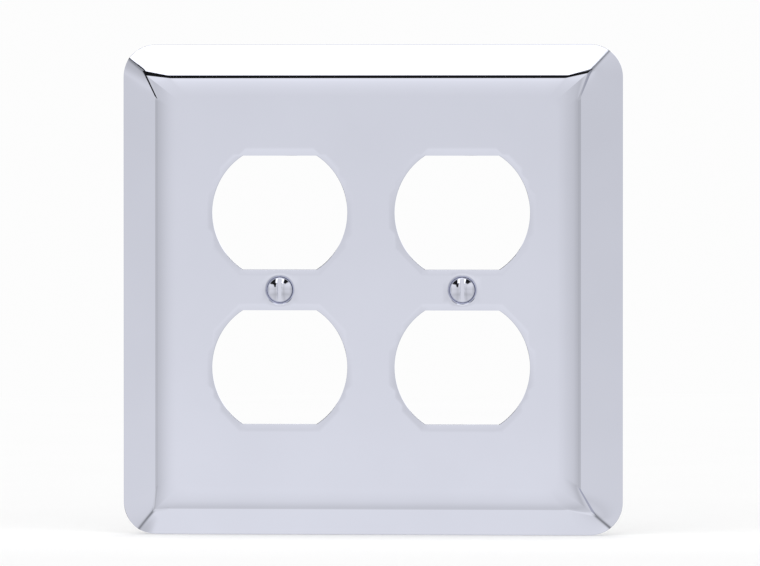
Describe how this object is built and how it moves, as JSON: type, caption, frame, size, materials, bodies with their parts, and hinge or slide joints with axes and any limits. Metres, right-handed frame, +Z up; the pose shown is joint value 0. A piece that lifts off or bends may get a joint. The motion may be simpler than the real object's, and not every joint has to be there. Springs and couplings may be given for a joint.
{
  "type": "wall plate cover",
  "caption": "Square pressed chrome wall plate with a raised field, mitred sloping border, round-and-flat receptacle openings and oval-head screws.",
  "frame": {"origin": "the plate's centre, on the wall plane that its foot rests on", "axes": "+Z up the wall, +X to the right of someone facing the plate, +Y into the wall; the front faces -Y"},
  "size_m": [0.1262, 0.0171, 0.1234],
  "materials": {
    "plated_sheet": "bright nickel and chrome plating on pressed steel",
    "plated_screw": "bright chrome plating on a turned and rolled steel screw"
  },
  "bodies": {
    "plate": {"plate": "plated_sheet"},
    "screw_left": {"screw_left": "plated_screw"},
    "screw_right": {"screw_right": "plated_screw"}
  },
  "joints": [
    {"name": "screw_left_out", "type": "slide", "parent": "plate", "child": "screw_left", "axis": [0, -1, 0], "range_m": [0, 0.018]},
    {"name": "screw_right_out", "type": "slide", "parent": "plate", "child": "screw_right", "axis": [0, -1, 0], "range_m": [0, 0.018]}
  ]
}
